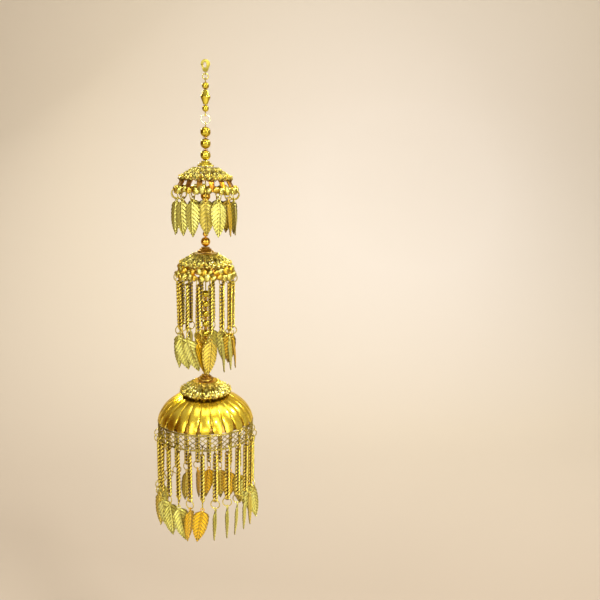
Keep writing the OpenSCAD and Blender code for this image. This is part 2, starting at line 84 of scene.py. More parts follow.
def washed(tree, share, base, wash):
    """A colour under a wash of another, as strong as the share says."""
    node = tree.nodes.new("ShaderNodeMix")
    node.data_type = "RGBA"
    node.inputs["B"].default_value = wash
    tree.links.new(share, node.inputs["Factor"])
    tree.links.new(base, node.inputs["A"])
    return node.outputs["Result"]


def own_value(tree, name):
    """A value that the piece's mesh carries on its points."""
    node = tree.nodes.new("ShaderNodeAttribute")
    node.attribute_name = name
    return node.outputs["Fac"]


def spots_of_noise(tree, place, spot_mm, detail):
    """Soft noise, its spots about as wide as it is told."""
    node = tree.nodes.new("ShaderNodeTexNoise")
    node.inputs["Scale"].default_value = 1 / (spot_mm * MM)
    node.inputs["Detail"].default_value = detail
    tree.links.new(place, node.inputs["Vector"])
    return node.outputs["Fac"]


def plated_gold(name, colour, deep, roughness, grain_mm, relief_mm,
                shade_paint=brown_shade_paint, stipple=0.0, metallic=1.0):
    """Gold-coloured plating, whose tone drifts between a colour and a deeper one, and whose
    polish and relief follow a fine grain. On a piece's mesh the value warm gives it an orange
    wash, and a second value paints shade, in a dark colour, into its hollows, creases and
    crossings. Stipple is how much of that dark colour the grain adds as specks."""
    material = bpy.data.materials.new(name)
    material.use_nodes = True
    tree = material.node_tree
    shader = tree.nodes["Principled BSDF"]
    shader.inputs["Metallic"].default_value = metallic
    shader.inputs["Specular Tint"].default_value = edge_glint
    shader.inputs["Coat Weight"].default_value = coat
    shader.inputs["Coat Roughness"].default_value = coat_roughness
    place = tree.nodes.new("ShaderNodeTexCoord").outputs["Object"]
    drift = spots_of_noise(tree, place, tone_patch, 3)
    grain = spots_of_noise(tree, place, grain_mm, 4)

    tone = tree.nodes.new("ShaderNodeValToRGB")
    set_stops(tone.color_ramp, (deep_below, deep), (bright_above, colour))
    tree.links.new(drift, tone.inputs["Fac"])
    warmed = washed(tree, own_value(tree, "warm"), tone.outputs["Color"], orange_wash)
    specks = ranged(tree, grain, speck_from, speck_full, 0.0, stipple)
    # Painted shade: the mesh's shade value, with the grain's specks, darkens the colour.
    dark = tree.nodes.new("ShaderNodeMath")
    dark.use_clamp = True
    tree.links.new(own_value(tree, "recess"), dark.inputs[0])
    tree.links.new(specks, dark.inputs[1])
    shaded_and_specked = washed(tree, dark.outputs["Value"], warmed, (*shade_paint, 1))
    tree.links.new(shaded_and_specked, shader.inputs["Base Color"])

    polish = ranged(tree, grain, 0.0, 1.0, roughness * smoothest, roughness * roughest)
    tree.links.new(polish, shader.inputs["Roughness"])
    bump = tree.nodes.new("ShaderNodeBump")
    bump.inputs["Strength"].default_value = 1.0
    bump.inputs["Distance"].default_value = relief_mm * MM
    tree.links.new(grain, bump.inputs["Height"])
    tree.links.new(bump.outputs["Normal"], shader.inputs["Normal"])
    return material


def dress(obj, body, slot, *nodes):
    """Hangs a finished piece on its body, in place of the plain solids that it stands for."""
    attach(obj, body)
    if nodes:
        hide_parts(*nodes)


def smooth(mesh, angle):
    """Smooth faces, with a sharp line wherever two of them meet at more than an angle."""
    bm = bmesh.new()
    bm.from_mesh(mesh)
    for face in bm.faces:
        face.smooth = True
    for edge in bm.edges:
        edge.smooth = not (edge.is_manifold and edge.calc_face_angle(0) > math.radians(angle))
    bm.to_mesh(mesh)
    bm.free()


def plain_mesh(obj):
    """The object's evaluated shape as a plain mesh, its modifiers gone."""
    bpy.context.view_layer.update()
    done = bpy.data.meshes.new_from_object(obj.evaluated_get(bpy.context.evaluated_depsgraph_get()))
    obj.modifiers.clear()
    obj.data = done
    done.name = obj.name
    return obj


def put_in_scene(name, data):
    """A mesh, a light or a lens put in the scene as an object."""
    obj = bpy.data.objects.new(name, data)
    bpy.context.scene.collection.objects.link(obj)
    return obj


def tumbled(name, node, edge_r, material):
    """A cast or stamped piece: the CAD solid's copy, merged, with its outer edges rounded over."""
    flat_within, edge_over, sharp_over = 1, 32, 50
    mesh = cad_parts[node].data.copy()
    bm = bmesh.new()
    bm.from_mesh(mesh)
    bmesh.ops.remove_doubles(bm, verts=bm.verts, dist=same_corner)
    bmesh.ops.dissolve_limit(bm, angle_limit=math.radians(flat_within), verts=bm.verts, edges=bm.edges)
    rounded = bm.edges.layers.float.new("bevel_weight_edge")
    for edge in bm.edges:
        edge[rounded] = edge.is_convex and edge.calc_face_angle(0) > math.radians(edge_over)
    bm.to_mesh(mesh)
    bm.free()
    mesh.materials.clear()
    mesh.materials.append(material)
    obj = put_in_scene(name, mesh)
    bevel = obj.modifiers.new("rounded edges", "BEVEL")
    bevel.width = edge_r * MM
    bevel.segments = 2
    bevel.limit_method = "WEIGHT"
    bevel.use_clamp_overlap = True
    plain_mesh(obj)
    smooth(obj.data, sharp_over)
    return obj


cast_gold = plated_gold("cast gold plate", (0.58, 0.48, 0.08), (0.32, 0.25, 0.025), 0.3, 0.25, 0.01)
clasp_body = tumbled("clasp_body_cast", "clasp_body", body_edge_r, cast_gold)
dress(clasp_body, "hook_link", "wire_gold", "clasp_body")
clasp_lever = tumbled("clasp_lever_cast", "clasp_lever", lever_edge_r, cast_gold)
dress(clasp_lever, "clasp_gate", "wire_gold", "clasp_lever")


# Clasp ring, link ring and eye pins
# Jump rings of drawn brass wire, cut from a coil and closed end to end, and straight wires
# with an eye turned at each end. The ring that joins the two strings is coloured paler and
# brighter than the rest.

clasp_ring_r, clasp_ring_wire = 1.3, 0.25
link_ring_r, link_ring_wire = 2.1, 0.3


def new_tree(name, made, **given):
    """A tree of Geometry Nodes that makes one geometry from named inputs of the kinds given."""
    tree = bpy.data.node_groups.new(name, "GeometryNodeTree")
    for label, kind in given.items():
        tree.interface.new_socket(label.replace("_", " "), in_out="INPUT", socket_type="NodeSocket" + kind)
    tree.interface.new_socket(made, in_out="OUTPUT", socket_type="NodeSocketGeometry")
    return tree


def sweep_tree():
    """Nodes that turn a path's edges into round wire."""
    tree = new_tree("wire along a path", "Wire",
                    Path="Geometry", Wire_radius="Float", Wire_sides="Int", Finish="Material")
    add, link = tree.nodes.new, tree.links.new
    given = add("NodeGroupInput")
    path = add("GeometryNodeMeshToCurve")
    section = add("GeometryNodeCurvePrimitiveCircle")
    wire = add("GeometryNodeCurveToMesh")
    shade = add("GeometryNodeSetShadeSmooth")
    whole = add("GeometryNodeRealizeInstances")
    finish = add("GeometryNodeSetMaterial")
    made = add("NodeGroupOutput")
    wire.inputs["Fill Caps"].default_value = True
    link(given.outputs["Path"], path.inputs["Mesh"])
    link(given.outputs["Wire radius"], section.inputs["Radius"])
    link(given.outputs["Wire sides"], section.inputs["Resolution"])
    link(path.outputs["Curve"], wire.inputs["Curve"])
    link(section.outputs["Curve"], wire.inputs["Profile Curve"])
    link(wire.outputs["Mesh"], shade.inputs["Geometry"])
    link(shade.outputs["Geometry"], whole.inputs["Geometry"])
    link(whole.outputs["Geometry"], finish.inputs["Geometry"])
    link(given.outputs["Finish"], finish.inputs["Material"])
    link(finish.outputs["Geometry"], made.inputs["Wire"])
    return tree


wire_nodes = sweep_tree()


def run_nodes(obj, tree, **values):
    """Runs a node tree on an object, its inputs set by name, and leaves a plain mesh."""
    nodes = obj.modifiers.new(tree.name, "NODES")
    nodes.node_group = tree
    for socket in tree.interface.items_tree:
        label = socket.name.replace(" ", "_")
        if socket.in_out == "INPUT" and label in values:
            nodes[socket.identifier] = values[label]
    return plain_mesh(obj)


def wire_work(name, paths, wire_r, material, sides=8):
    """Round wire along each path, given in mm. A path whose first point is its last is a loop."""
    points, edges = [], []
    for path in paths:
        loop = path[0] == path[-1]
        kept = path[:-1] if loop else path
        first = len(points)
        points += [Vector(p) * MM for p in kept]
        edges += [(first + i, first + i + 1) for i in range(len(kept) - 1)]
        if loop:
            edges.append((first + len(kept) - 1, first))
    mesh = bpy.data.meshes.new(name)
    mesh.from_pydata(points, edges, [])
    return run_nodes(put_in_scene(name, mesh), wire_nodes,
                     Wire_radius=wire_r * MM, Wire_sides=sides, Finish=material)


def ring_path(radius, corners=24):
    """Middle line of a ring that lies flat, closed."""
    turns = [2 * math.pi * (i % corners) / corners for i in range(corners + 1)]
    return [(radius * math.cos(a), radius * math.sin(a), 0) for a in turns]


def upright(path, z):
    """A flat path stood on edge at a height, its hole to the front."""
    return [(x, 0, z + y) for x, y, _ in path]


def middle(node):
    """Middle of a solid's box, in mm."""
    low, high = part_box(node)
    return (low + high) / 2 / MM


drawn_gold = plated_gold("drawn wire gold", (0.72, 0.58, 0.1), (0.42, 0.3, 0.03), 0.2, 0.2, 0.003)
pale_wire = plated_gold("pale link ring", (0.95, 0.93, 0.66), (0.9, 0.86, 0.5), 0.22, 0.2, 0.004)

clasp_ring_line = upright(ring_path(clasp_ring_r), middle("clasp_ring").z)
clasp_ring = wire_work("clasp_ring_wire", [clasp_ring_line], clasp_ring_wire, drawn_gold, 10)
dress(clasp_ring, "hook_link", "wire_gold", "clasp_ring")
link_ring_line = upright(ring_path(link_ring_r, 32), middle("link_ring").z)
link_ring = wire_work("link_ring_wire", [link_ring_line], link_ring_wire, pale_wire, 10)
dress(link_ring, "hook_link", "pale_gold", "link_ring")
for pin in ("top_eye_pin", "upper_eye_pin", "middle_eye_pin", "dome_eye_pin"):
    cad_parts[pin].data.materials.clear()
    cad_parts[pin].data.materials.append(drawn_gold)


# Beads and the double cone
# Hollow beads pressed from thin brass in two halves, soldered round the middle, plated and
# polished. Each has a small lip round its drilled holes. Small turned discs and sleeves keep
# them apart on the wire.

bead_bore, lip_w, seam_depth = 0.4, 0.22, 0.025
bicone_half = 3.35
spacer_edge_r = 0.05
bead_gold = plated_gold("polished bead gold", (0.66, 0.52, 0.04), (0.44, 0.3, 0.01), 0.12, 0.6, 0.004)
amber_gold = plated_gold("deep bead gold", (0.85, 0.5, 0.05), (0.66, 0.32, 0.02), 0.14, 0.6, 0.004)
dark_gold = plated_gold("shaded spacer gold", (0.62, 0.36, 0.05), (0.42, 0.2, 0.02), 0.28, 0.2, 0.006)


def round_place(angle, radius, z):
    """A place round the axis, in mm, its angle from the front and anticlockwise seen from above."""
    a = math.radians(angle)
    return (radius * math.sin(a), -radius * math.cos(a), z)


def shaped(name, points, faces, material):
    """A mesh from its points in mm."""
    mesh = bpy.data.meshes.new(name)
    mesh.from_pydata([Vector(p) * MM for p in points], [], faces)
    mesh.materials.append(material)
    return put_in_scene(name, mesh)


def belt(upper, lower, count):
    """Faces between two closed rows of points, given by the first point of each."""
    return [(upper + j, lower + j, lower + (j + 1) % count, upper + (j + 1) % count) for j in range(count)]


def turned(name, outline, z, material):
    """A turned or pressed round piece, from its outline in mm that starts and ends at its bore."""
    sides = 40
    points = [round_place(360 * j / sides, r, z + h) for r, h in outline for j in range(sides)]
    faces = []
    for i in range(len(outline)):
        faces += belt(i * sides, (i + 1) % len(outline) * sides, sides)
    obj = shaped(name, points, faces, material)
    smooth(obj.data, 40)
    return obj


def mirrored(upper):
    """A whole outline from its upper half."""
    return upper + [(r, -h) for r, h in reversed(upper)]


def bead_outline(r):
    """Round bead: a lip at each hole and a faint seam where its two halves meet."""
    lip = bead_bore + lip_w
    start = math.asin(min(0.9, lip / r))
    shoulder = r * math.cos(start)
    top = [(bead_bore, shoulder + 0.02), (bead_bore + 0.1, shoulder + 0.05), (lip, shoulder - 0.02)]
    steps = 22
    ball = []
    for i in range(1, steps):
        a = start + (math.pi - 2 * start) * i / steps
        wall = r - seam_depth if i == steps // 2 else r
        ball.append((wall * math.sin(a), wall * math.cos(a)))
    return top + ball + [(x, -h) for x, h in reversed(top)]


for body, finish, nodes in (
        ("hook_link", bead_gold, ["top_bead", "top_lower_bead"]),
        ("upper_drop", bead_gold, ["neck_bead_1", "neck_bead_2", "neck_bead_3"]),
        ("upper_drop", amber_gold, ["upper_inner_bead", "upper_inner_small_bead"]),
        ("middle_drop", amber_gold, ["middle_small_bead", "middle_bead"]),
        ("dome_drop", bead_gold, ["dome_stop_bead"]),
        ("middle_drop", bead_gold, [f"core_bead_{i}" for i in range(1, 6)])):
    for node in nodes:
        low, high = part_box(node)
        ball = turned(node + "_pressed", bead_outline((high.x - low.x) / 2 / MM), middle(node).z, finish)
        dress(ball, body, "bead_gold", node)

bicone_upper = [
    (0.4, bicone_half), (0.95, bicone_half), (1.05, bicone_half - 0.15), (1.3, 2.55),
    (1.62, 1.75), (2.0, 0.85), (2.22, 0.3), (2.3, 0.1)]
cone = turned("top_bicone_pressed", mirrored(bicone_upper), middle("top_bicone_bead").z, bead_gold)
dress(cone, "hook_link", "bead_gold", "top_bicone_bead")
for node, body in (("neck_spacers", "upper_drop"), ("core_sleeves", "middle_drop")):
    disc = tumbled(node + "_turned", node, spacer_edge_r, dark_gold)
    dress(disc, body, "wire_gold", node)


# Small bells
# The small bell that stands on each umbrella: a stamped cone whose rows of raised granules
# catch the light. The wire holds it down on the cap's crown.

bell_gold = plated_gold("rough bell gold", (0.82, 0.7, 0.12), (0.5, 0.38, 0.03), 0.28, 0.3, 0.04,
                        (0.14, 0.08, 0.005), 0.6)
brown_gold = plated_gold("tarnished bell gold", (0.74, 0.44, 0.05), (0.3, 0.13, 0.01), 0.3, 0.4, 0.05,
                         (0.07, 0.02, 0.002), 0.8)
bell_outline = [
    (0.4, 0), (1.4, 0), (1.9, -0.2), (2.0, -0.5), (1.9, -0.7), (2.3, -0.95), (2.7, -1.2),
    (2.65, -1.4), (3.1, -1.75), (3.6, -2.0), (3.95, -2.3), (4.0, -2.6), (3.8, -2.79), (0.4, -2.79)]
bell_grain_r = 0.3
bell_grain_rows = ((12, 5.6, 1.95, -0.35, 0.8), (16, 7, 2.7, -1.2, 1.0), (24, 7, 3.7, -2.15, 1.0))
unturned = (0, 0, 0)


def granule(radius, material):
    """A soldered grain of metal: a small ball with few faces."""
    rows, sides = 5, 8
    points = [(0, 0, radius)]
    for i in range(1, rows):
        fall = math.pi * i / rows
        reach, height = radius * math.sin(fall), radius * math.cos(fall)
        points += [round_place(360 * j / sides, reach, height) for j in range(sides)]
    points.append((0, 0, -radius))
    bottom = len(points) - 1
    faces = [(0, 1 + j, 1 + (j + 1) % sides) for j in range(sides)]
    for i in range(rows - 2):
        faces += belt(1 + i * sides, 1 + (i + 1) * sides, sides)
    lowest = 1 + (rows - 2) * sides
    faces += [(bottom, lowest + (j + 1) % sides, lowest + j) for j in range(sides)]
    obj = shaped("grain", points, faces, material)
    smooth(obj.data, 80)
    return obj


def set_out_tree():
    """Nodes that put a shape on each point, turned and sized as the point says."""
    tree = new_tree("shapes set out on points", "Row",
                    Points="Geometry", Shape="Object", Size="Float", Finish="Material")
    add, link = tree.nodes.new, tree.links.new
    given = add("NodeGroupInput")
    shape = add("GeometryNodeObjectInfo")
    turn = add("GeometryNodeInputNamedAttribute")
    size = add("GeometryNodeInputNamedAttribute")
    scale = add("ShaderNodeMath")
    put = add("GeometryNodeInstanceOnPoints")
    whole = add("GeometryNodeRealizeInstances")
    finish = add("GeometryNodeSetMaterial")
    made = add("NodeGroupOutput")
    turn.data_type = "FLOAT_VECTOR"
    turn.inputs["Name"].default_value = "turn"
    size.data_type = "FLOAT"
    size.inputs["Name"].default_value = "size"
    scale.operation = "MULTIPLY"
    link(given.outputs["Points"], put.inputs["Points"])
    link(given.outputs["Shape"], shape.inputs["Object"])
    link(shape.outputs["Geometry"], put.inputs["Instance"])
    link(turn.outputs["Attribute"], put.inputs["Rotation"])
    link(size.outputs["Attribute"], scale.inputs[0])
    link(given.outputs["Size"], scale.inputs[1])
    link(scale.outputs["Value"], put.inputs["Scale"])
    link(put.outputs["Instances"], whole.inputs["Geometry"])
    link(whole.outputs["Geometry"], finish.inputs["Geometry"])
    link(given.outputs["Finish"], finish.inputs["Material"])
    link(finish.outputs["Geometry"], made.inputs["Row"])
    return tree


row_nodes = set_out_tree()


def mark(mesh, name, values):
    """Puts a value of its own on each point of a mesh."""
    mesh.attributes.new(name, "FLOAT", "POINT").data.foreach_set("value", values)


def set_out(name, shape, spots, material, size=1.0):
    """One shape on many spots: each a place in mm, a turn, a size and how warm its colour is."""
    places, turns, sizes, warmths = zip(*spots)
    mesh = bpy.data.meshes.new(name)
    mesh.from_pydata([Vector(place) * MM for place in places], [], [])
    turned_by = mesh.attributes.new("turn", "FLOAT_VECTOR", "POINT")
    turned_by.data.foreach_set("vector", [angle for turn in turns for angle in turn])
    mark(mesh, "size", sizes)
    mark(mesh, "warm", warmths)
    return run_nodes(put_in_scene(name, mesh), row_nodes, Shape=shape, Size=size, Finish=material)


def join(name, *parts):
    """Several meshes of one body made one piece."""
    with bpy.context.temp_override(active_object=parts[0], selected_editable_objects=list(parts)):
        bpy.ops.object.join()
    parts[0].name = parts[0].data.name = name
    return parts[0]


for tier, body, metal in (
        ("upper", "upper_drop", bell_gold), ("middle", "middle_drop", brown_gold),
        ("dome", "dome_drop", brown_gold)):
    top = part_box(tier + "_finial")[1].z / MM
    bell = turned(tier + "_bell", bell_outline, top, metal)
    grain = granule(bell_grain_r, metal)
    spots = []
    for count, turn, r, z, size in bell_grain_rows:
        spots += [(round_place(turn + 360 * k / count, r, top + z), unturned, size, 0) for k in range(count)]
    grains = set_out(tier + "_bell_grains", grain, spots, metal)
    bpy.data.objects.remove(grain)
    dress(join(tier + "_bell_stamped", bell, grains), body, "wire_gold", tier + "_finial")


# Umbrella caps
# Each cap is a filigree casting: fourteen petals with raised outlines and veins, pierced once
# between the petals, with grains along its rim and where the petals meet, and a brown zigzag
# wire soldered under the rim. Shade is painted away from its ribs and veins and in its hollows,
# and each tier's cap has painted shade, or painted light, added at its middle and over all of it.

filigree_gold = plated_gold("filigree gold", (0.92, 0.84, 0.22), (0.82, 0.68, 0.1), 0.28, 0.3, 0.04,
                            (0.12, 0.07, 0.006), 0.4)
cap_r, cap_drop, cap_bulge, cap_wall = 13.05, 5.0, 0.6, 0.5
bore_r, crown_r = 0.45, 5.2
pierced_at, pierced_r = 0.7 * cap_r, 0.9
petals = 14
sector = 360 / petals
cap_line = [
    (0.4, 0), (0.275 * cap_r, 0), (0.385 * cap_r, cap_bulge), (0.475 * cap_r, 0.3),
    (0.58 * cap_r, -1.3), (0.77 * cap_r, -2.7), (cap_r, -cap_drop)]
cap_grain_r, cap_grain_size, cap_grain_warmth = 0.42, 0.9, 0.3
cap_grain_rows = ((28, 12.45, 0.3, 1.2), (14, 11.2, 0.0, 1.0), (14, 7.6, 0.0, 0.9))
zigzag_r, zigzag_wire, zigzag_corners = 12.5, 0.28, 84


def along(line, x):
    """Height of a line of corners at x."""
    for (x0, y0), (x1, y1) in zip(line, line[1:]):
        if x <= x1:
            return y0 + (y1 - y0) * (x - x0) / (x1 - x0)
    return line[-1][1]


def ridge(distance, width):
    """The share of a ridge's height, or of a groove's depth, that is left beside its line."""
    return math.exp(-(distance / width) ** 2)


def petal(r, angle):
    """Relief in mm at a place on a cap, how deep it lies in painted shade, and whether it is pierced.
    Across a petal, s runs from -1 to 1. Along it, t runs from 0 at the crown to 1 at the rim."""
    s = ((angle + sector / 2) % sector - sector / 2) / (sector / 2)
    t = max(0.0, (r - crown_r) / (cap_r - crown_r))
    half_w = r * math.radians(sector / 2)
    edge = 0.9 * math.sin(math.pi * min(0.93, 0.12 + 0.86 * t)) ** 0.55
    rib = ridge((abs(s) - edge) * half_w, 0.28)
    vein = ridge(s * half_w, 0.22)
    if abs(s) < edge:
        fan = math.cos(math.pi * 5 * s / edge)
        swell = 0.55 * math.cos(s / edge * math.pi / 2) * math.sin(math.pi * min(1, t * 1.1))
    else:
        fan, swell = -0.8, -0.3
    rim = max(0.0, (t - 0.8) / 0.2)
    lobe = abs(math.sin(math.radians(angle * petals)))
    rough = noise.noise(Vector(round_place(angle, r, 0)) * 2.3)
    lump = noise.noise(Vector(round_place(angle, r, 0)) * 0.85)
    lift = (swell + 0.5 * rib + 0.22 * vein + 0.14 * fan) * (1 - rim)
    lift += 0.5 * rim * lobe + 0.1 * rough + 0.7 * lump
    # Painted shade: darker away from the raised ribs and vein, between petals and rim lobes, and in the low
    # places of its lumps.
    shade = 0.5 - 0.9 * rib - 0.5 * vein - 0.35 * fan * (1 - rim)
    shade += rim * (0.5 - lobe) - 0.5 * rough - 0.8 * lump
    from_hole = math.hypot(r - pierced_at, (1 - abs(s)) * half_w)
    return lift * min(1, t * 3), min(1, max(0, 1.3 * shade)) * min(1, t * 5), from_hole < pierced_r


def thickened(obj, wall, sharp_over):
    """A pressed or cast skin given its wall, in mm, on the inner side."""
    sheet = obj.modifiers.new("wall", "SOLIDIFY")
    sheet.thickness = wall * MM
    sheet.offset = -1
    plain_mesh(obj)
    smooth(obj.data, sharp_over)
    return obj


def filigree_cap(name, top, phase, warmth, shade_paint, shade_all_over):
    """One cap's shell. Warmth colours its middle orange. The next value paints shade on its middle, and the
    last paints shade over the whole of it; below zero, either paints light instead.
    """
    columns, inner_rows, outer_rows = petals * 18, 4, 30
    radii = [bore_r + (crown_r - bore_r) * i / inner_rows for i in range(inner_rows)]
    radii += [crown_r + (cap_r - crown_r) * i / outer_rows for i in range(outer_rows + 1)]
    points, pierced, shades, tints = [], [], [], []
    for r in radii:
        rim = max(0, (r / cap_r - 0.85) / 0.15)
        near = max(0, 1 - r / 9)
        z = top + along(cap_line, r) - 0.2 - 0.5 * min(1, r / 4)
        for j in range(columns):
            angle = 360 * j / columns
            scallop = 1 - 0.06 * rim * (1 - abs(math.sin(math.radians(angle * petals))))
            lift, shade, hole = petal(r, angle)
            points.append(round_place(angle + phase, r * scallop, z + lift))
            # Painted shade, more at the middle and over the whole cap as the tier asks, or painted light
            # where those are below zero.
            shades.append(min(1, max(0, shade + shade_paint * near + shade_all_over)))
            tints.append(warmth * min(1, 1.6 * near))
            pierced.append(hole)
    faces = []
    for i in range(len(radii) - 1):
        row = belt(i * columns, (i + 1) * columns, columns)
        faces += [face for face in row if sum(pierced[corner] for corner in face) < 3]
    shell = shaped(name, points, faces, filigree_gold)
    mark(shell.data, "recess", shades)
    mark(shell.data, "warm", tints)
    return thickened(shell, cap_wall, 55)


# For each tier: warmth, then painted shade at the middle and over the whole cap (painted light where below
# zero).
for tier, body, phase, warmth, shade_paint, shade_all_over in (
        ("upper", "upper_drop", 0, 0, 0.3, 0.2), ("middle", "middle_drop", 9, 0.4, 0.4, -0.05),
        ("dome", "dome_drop", 4, 1.0, -0.2, -0.1)):
    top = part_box(tier + "_cap")[1].z / MM - cap_bulge
    shell = filigree_cap(tier + "_cap_shell", top, phase, warmth, shade_paint, shade_all_over)
    grain = granule(cap_grain_r, filigree_gold)
    spots = []
    for count, r, lift, size in cap_grain_rows:
        for k in range(count):
            place = round_place(phase + 360 * (k + 0.5) / count, r, top + along(cap_line, r) + lift)
            spots.append((place, unturned, size, cap_grain_warmth))
    grains = set_out(tier + "_cap_grains", grain, spots, filigree_gold, cap_grain_size)
    bpy.data.objects.remove(grain)
    zigzag = []
    for k in range(zigzag_corners):
        out, down = -0.2 * (k % 2), 0.3 + 1.1 * (k % 2)
        zigzag.append(round_place(phase + 360 * k / zigzag_corners, zigzag_r + out, top - cap_drop - down))
    edging = wire_work(tier + "_cap_edging", [zigzag + zigzag[:1]], zigzag_wire, brown_gold, 6)
    dress(join(tier + "_cap_cast", shell, grains, edging), body, "wire_gold", tier + "_cap")


# Open skirts
# The slanted open band under each small umbrella: stamped bars soldered to a wire, with a row
# of ribbed drops cast round the wire and, on the middle tier, a second row higher up. The bars
# are darker, since they stand in the cap's shade and keep less polish.

skirt_gold = plated_gold("skirt gold", (0.62, 0.3, 0.02), (0.2, 0.06, 0.006), 0.28, 0.25, 0.012)
bar_edge_r, skirt_wire = 0.1, 0.45
ribbed_drop_r, ribbed_drop_size, ribbed_drops = 1.3, 1.29, 28


def ribbed_drop():
    """A ball with four ribs, and shade painted between them. Every second one of its points is on a rib."""
    ball = granule(ribbed_drop_r, filigree_gold)
    shades = []
    for i, vertex in enumerate(ball.data.vertices):
        vertex.co.xy *= 1.1 if i % 2 else 0.8
        # Painted shade in the grooves between the ribs.
        shades.append(0.0 if i % 2 else 0.5)
    mark(ball.data, "recess", shades)
    return ball


for tier, body, phase, foot_r in (("upper", "upper_drop", 0, 13.9), ("middle", "middle_drop", 10, 13.2)):
    wire_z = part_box(tier + "_skirt")[0].z / MM + skirt_wire
    bars = tumbled(tier + "_skirt_bars", tier + "_skirt", bar_edge_r, skirt_gold)
    ball = ribbed_drop()
    spots = []
    for k in range(ribbed_drops):
        size = 0.9 + 0.13 * (k * 5 % 4)
        angle = phase + sector * (k / 2 + 0.25) + 1.5 * math.sin(k * 2.7)
        lift = 0.35 * math.sin(k * 1.9)
        turn = (0.9 * math.sin(k * 2.1), 0.9 * math.cos(k * 1.7), k)
        place = round_place(angle, foot_r, wire_z + 0.35 + lift)
        spots.append((place, turn, size, 0.6 * (k % 3 == 1)))
        if tier == "middle":
            place = round_place(angle - 6, foot_r - 1.1, wire_z + 3.0 - lift)
            spots.append((place, turn, size, 0.8 * (k % 2)))
    drops = set_out(tier + "_skirt_drops", ball, spots, filigree_gold, ribbed_drop_size)
    bpy.data.objects.remove(ball)
    dress(join(tier + "_skirt_soldered", bars, drops), body, "wire_gold", tier + "_skirt")


# Jump rings
# Ninety small rings of drawn wire carry the leaves and the chains: through the skirts'
# openings, through the net, and between each chain and its leaf.

jump_wire = 0.25
jump_ring_r = {"upper_rings": 2.5, "middle_top_rings": 2.2, "middle_low_rings": 2.1,
               "dome_top_rings": 2.2, "dome_low_rings": 2.2}

# How each leaf hangs, in degrees: turned about its length, its tip inward, its tip to the right.
# The first is nearest the front, and the others follow anticlockwise, as seen from above.
upper_hang = [
    (4, 16, 2), (-5, -2, -2), (22, -1, 1), (15, 0, 2), (12, 1, 2), (14, 3, 3), (12, 1, -3),
    (15, 4, 2), (12, 0, -4), (14, 3, 3), (12, 1, 1), (27, -1, -1), (19, 4, -1), (-2, 1, 1)]
middle_hang = [
    (11, -1, -5), (48, 1, 4), (15, 0, 2), (-1, -4, -7), (35, 2, 5), (20, 3, -4), (50, 4, 3),
    (15, 2, -3), (40, 3, 2), (25, 4, -5), (45, 2, 4), (77, 12, 5), (31, 13, 14), (74, 3, 9)]
fringe_hang = [
    (2, 0, -9), (66, 1, -3), (52, 0, -2), (38, 2, -6), (19, 3, -2), (2, 0, -3), (-38, -8, 2), (53, 2, -3),
    (25, 3, 3), (60, 1, -5), (20, 4, 4), (45, 2, -3), (30, 3, 5), (65, 1, -4), (25, 2, 3), (50, 4, -5),
    (30, 1, 4), (60, 3, -3), (28, 2, 5), (30, 2, 3), (44, 10, 10), (80, 4, 3), (39, 1, 13), (72, -2, -5)]
tiers = {
    "upper": {"phase": 0, "radius": 13.9, "body": "upper_drop", "hang": upper_hang},
    "middle": {"phase": 10, "radius": 13.2, "body": "middle_drop", "hang": middle_hang},
    "dome": {"phase": -4, "radius": 23.7, "body": "dome_drop", "hang": fringe_hang}}


def hung_at(row, k):
    """The angle from the front at which a tier's rings, chain and leaf hang."""
    return row["phase"] + 360 * k / len(row["hang"])


for node, tier, turned_with_leaf in (
        ("upper_rings", "upper", False), ("middle_top_rings", "middle", False),
        ("middle_low_rings", "middle", True), ("dome_top_rings", "dome", False),
        ("dome_low_rings", "dome", True)):
    row = tiers[tier]
    z = middle(node).z
    ring = wire_work("ring", [ring_path(jump_ring_r[node], 20)], jump_wire, drawn_gold)
    spots = []
    for k, (leaf_turn, _, _) in enumerate(row["hang"]):
        angle = hung_at(row, k)
        turn = angle + 90 + (leaf_turn if turned_with_leaf else 0)
        spots.append((round_place(angle, row["radius"], z), (math.pi / 2, 0, math.radians(turn)), 1.0, 0))
    rings = set_out(node + "_wire", ring, spots, drawn_gold)
    bpy.data.objects.remove(ring)
    smooth(rings.data, 80)
    dress(rings, row["body"], "wire_gold", node)


# Leaf charms
# Stamped leaves of thin brass, folded along the midrib and bowed, with serrated edges and
# raised veins, each with an eyelet at its top for its ring. Shade is painted beside the veins,
# in grooves along the edge and the midrib, and at the cut edge. Some are plated a warmer gold.

leaf_gold = plated_gold("stamped leaf gold", (0.95, 0.88, 0.22), (0.88, 0.78, 0.14), 0.34, 0.16, 0.03,
                        (0.12, 0.08, 0.008), 0.5, 0.7)
leaf_half_w, leaf_length, leaf_top, leaf_sheet = 3.9, 15.9, -0.95, 0.32
leaf_line = [
    (0, 0.3), (0.05, 0.78), (0.14, 0.97), (0.3, 1), (0.53, 0.92), (0.72, 0.7), (0.88, 0.36), (1, 0.05)]
leaf_warmth = {
    "upper": {0: 0.3, 2: 0.8, 5: 0.6, 9: 0.6},
    "middle": {0: 0.55, 3: 1, 4: 0.8, 7: 0.8, 9: 0.7, 13: 1},
    "dome": {0: 1, 23: 0.9, 5: 0.4, 9: 0.6, 10: 1, 11: 0.5, 12: 1, 13: 1, 14: 0.4, 16: 0.7, 19: 0.5}}
eyelet_r, eyelet_wire, stem_wire = 0.82, 0.24, 0.32


